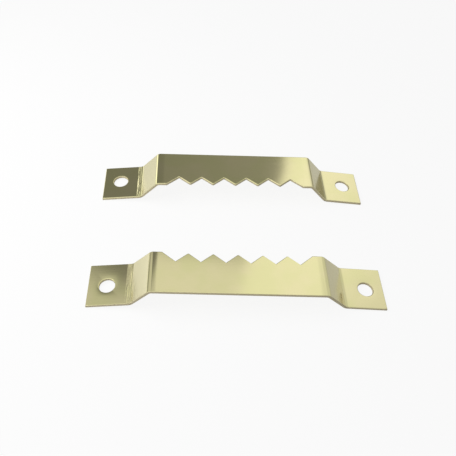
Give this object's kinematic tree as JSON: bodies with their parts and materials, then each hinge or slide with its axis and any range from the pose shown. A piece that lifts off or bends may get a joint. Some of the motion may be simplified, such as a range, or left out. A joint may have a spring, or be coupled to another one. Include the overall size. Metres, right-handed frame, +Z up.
{
  "type": "sawtooth picture hanger",
  "caption": "Sawtooth picture hangers of brass-plated steel strip, each bent into a raised bridge with a toothed edge between flat screw tabs.",
  "frame": {"origin": "on the surface that the pair lies on, at the middle of the pair", "axes": "+X along the strips, +Y across them from the front hanger to the rear one, +Z up off the surface"},
  "size_m": [0.065, 0.0417, 0.0062],
  "materials": {
    "brass_plate": "bright brass plate on rolled steel strip, faint rolling lines along its length"
  },
  "bodies": {
    "front_hanger": {"front_hanger": "brass_plate"},
    "rear_hanger": {"rear_hanger": "brass_plate"}
  },
  "joints": [
    {"name": "rear_hanger_lift", "type": "slide", "parent": "front_hanger", "child": "rear_hanger", "axis": [0, 0, 1], "range_m": [0, 0.05]}
  ]
}
